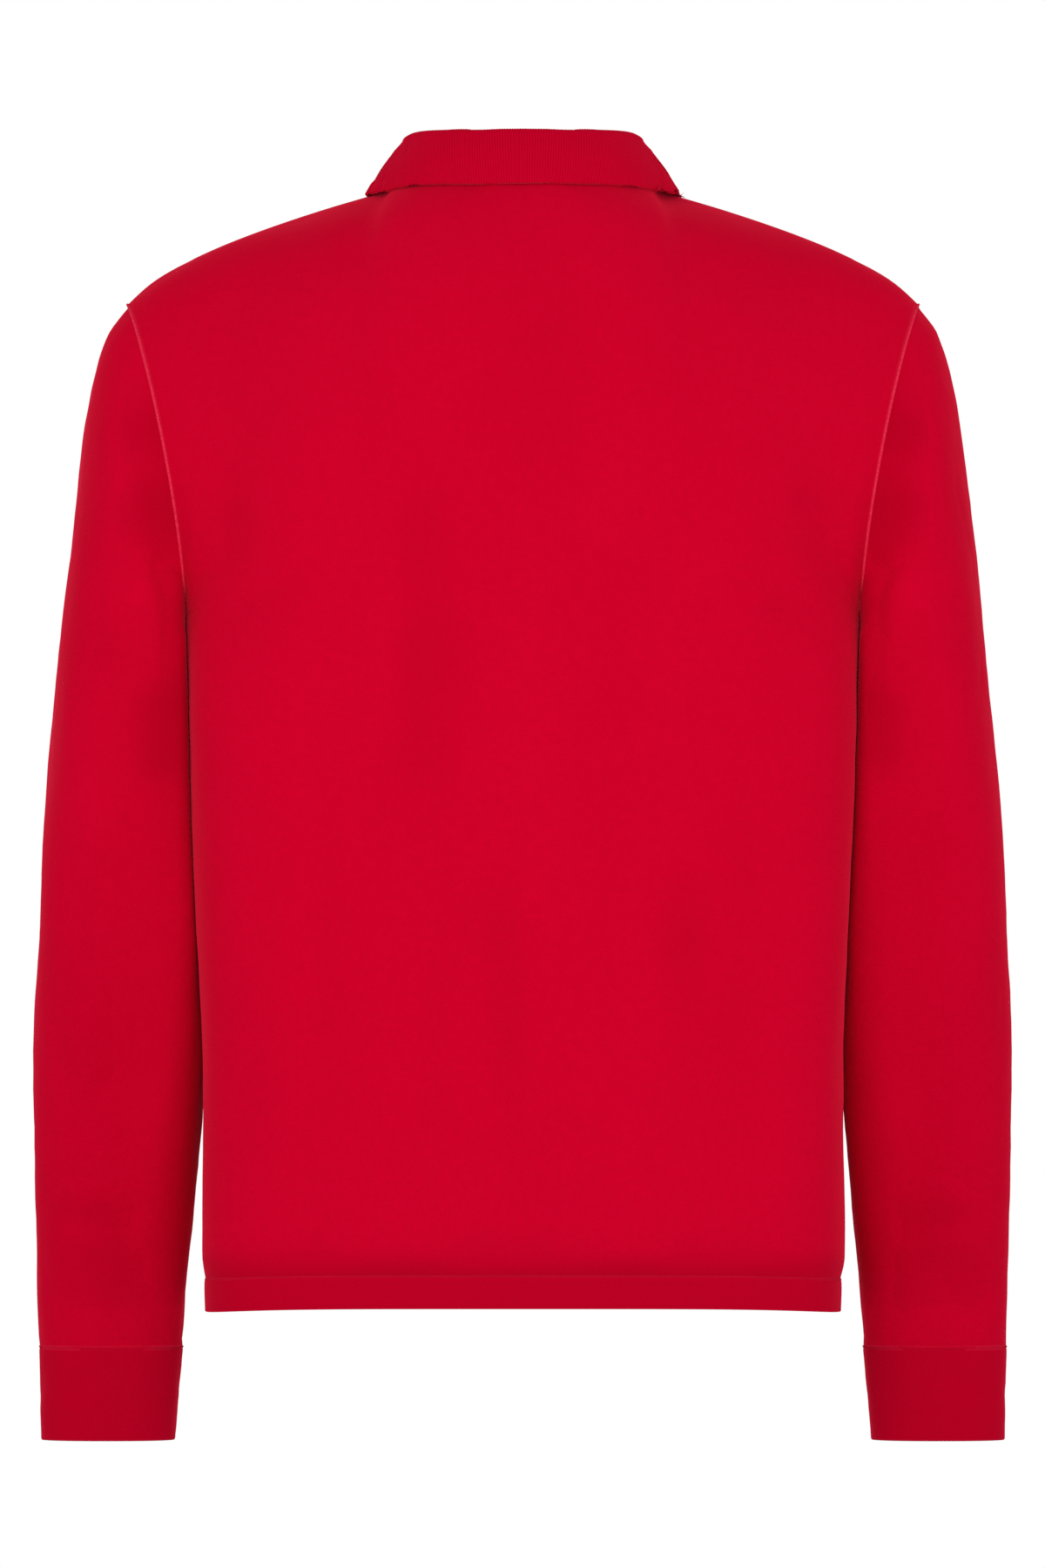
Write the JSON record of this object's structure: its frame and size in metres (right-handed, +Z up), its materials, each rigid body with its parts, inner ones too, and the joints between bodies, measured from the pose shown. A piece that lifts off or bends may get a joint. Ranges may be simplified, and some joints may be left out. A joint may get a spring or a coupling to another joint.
{
  "type": "long-sleeve polo shirt",
  "caption": "Red jersey shirt, filled out as if worn, with long set-in sleeves, plain cuffs, a turned hem, a rib collar folded down and a buttoned placket at the front.",
  "frame": {"origin": "middle of the neck's base, on the sagittal plane and 2 mm below the points where the shoulder seams meet the collar, where the wearer's shoulders carry the shirt", "axes": "+Z up, -Y to the wearer's front, +X to the wearer's left"},
  "size_m": [0.5804, 0.2315, 0.7757],
  "materials": {
    "jersey": "soft matt jersey knit",
    "rib": "fine flat-knit rib",
    "button": "satin"
  },
  "bodies": {
    "root": {"back": "jersey", "front": "jersey", "sleeve_left": "jersey", "sleeve_right": "jersey", "cuff_left": "jersey", "cuff_right": "jersey", "collar": "rib", "placket_under": "jersey", "placket_top": "jersey", "button_1": "button", "button_2": "button", "button_3": "button"}
  },
  "joints": []
}
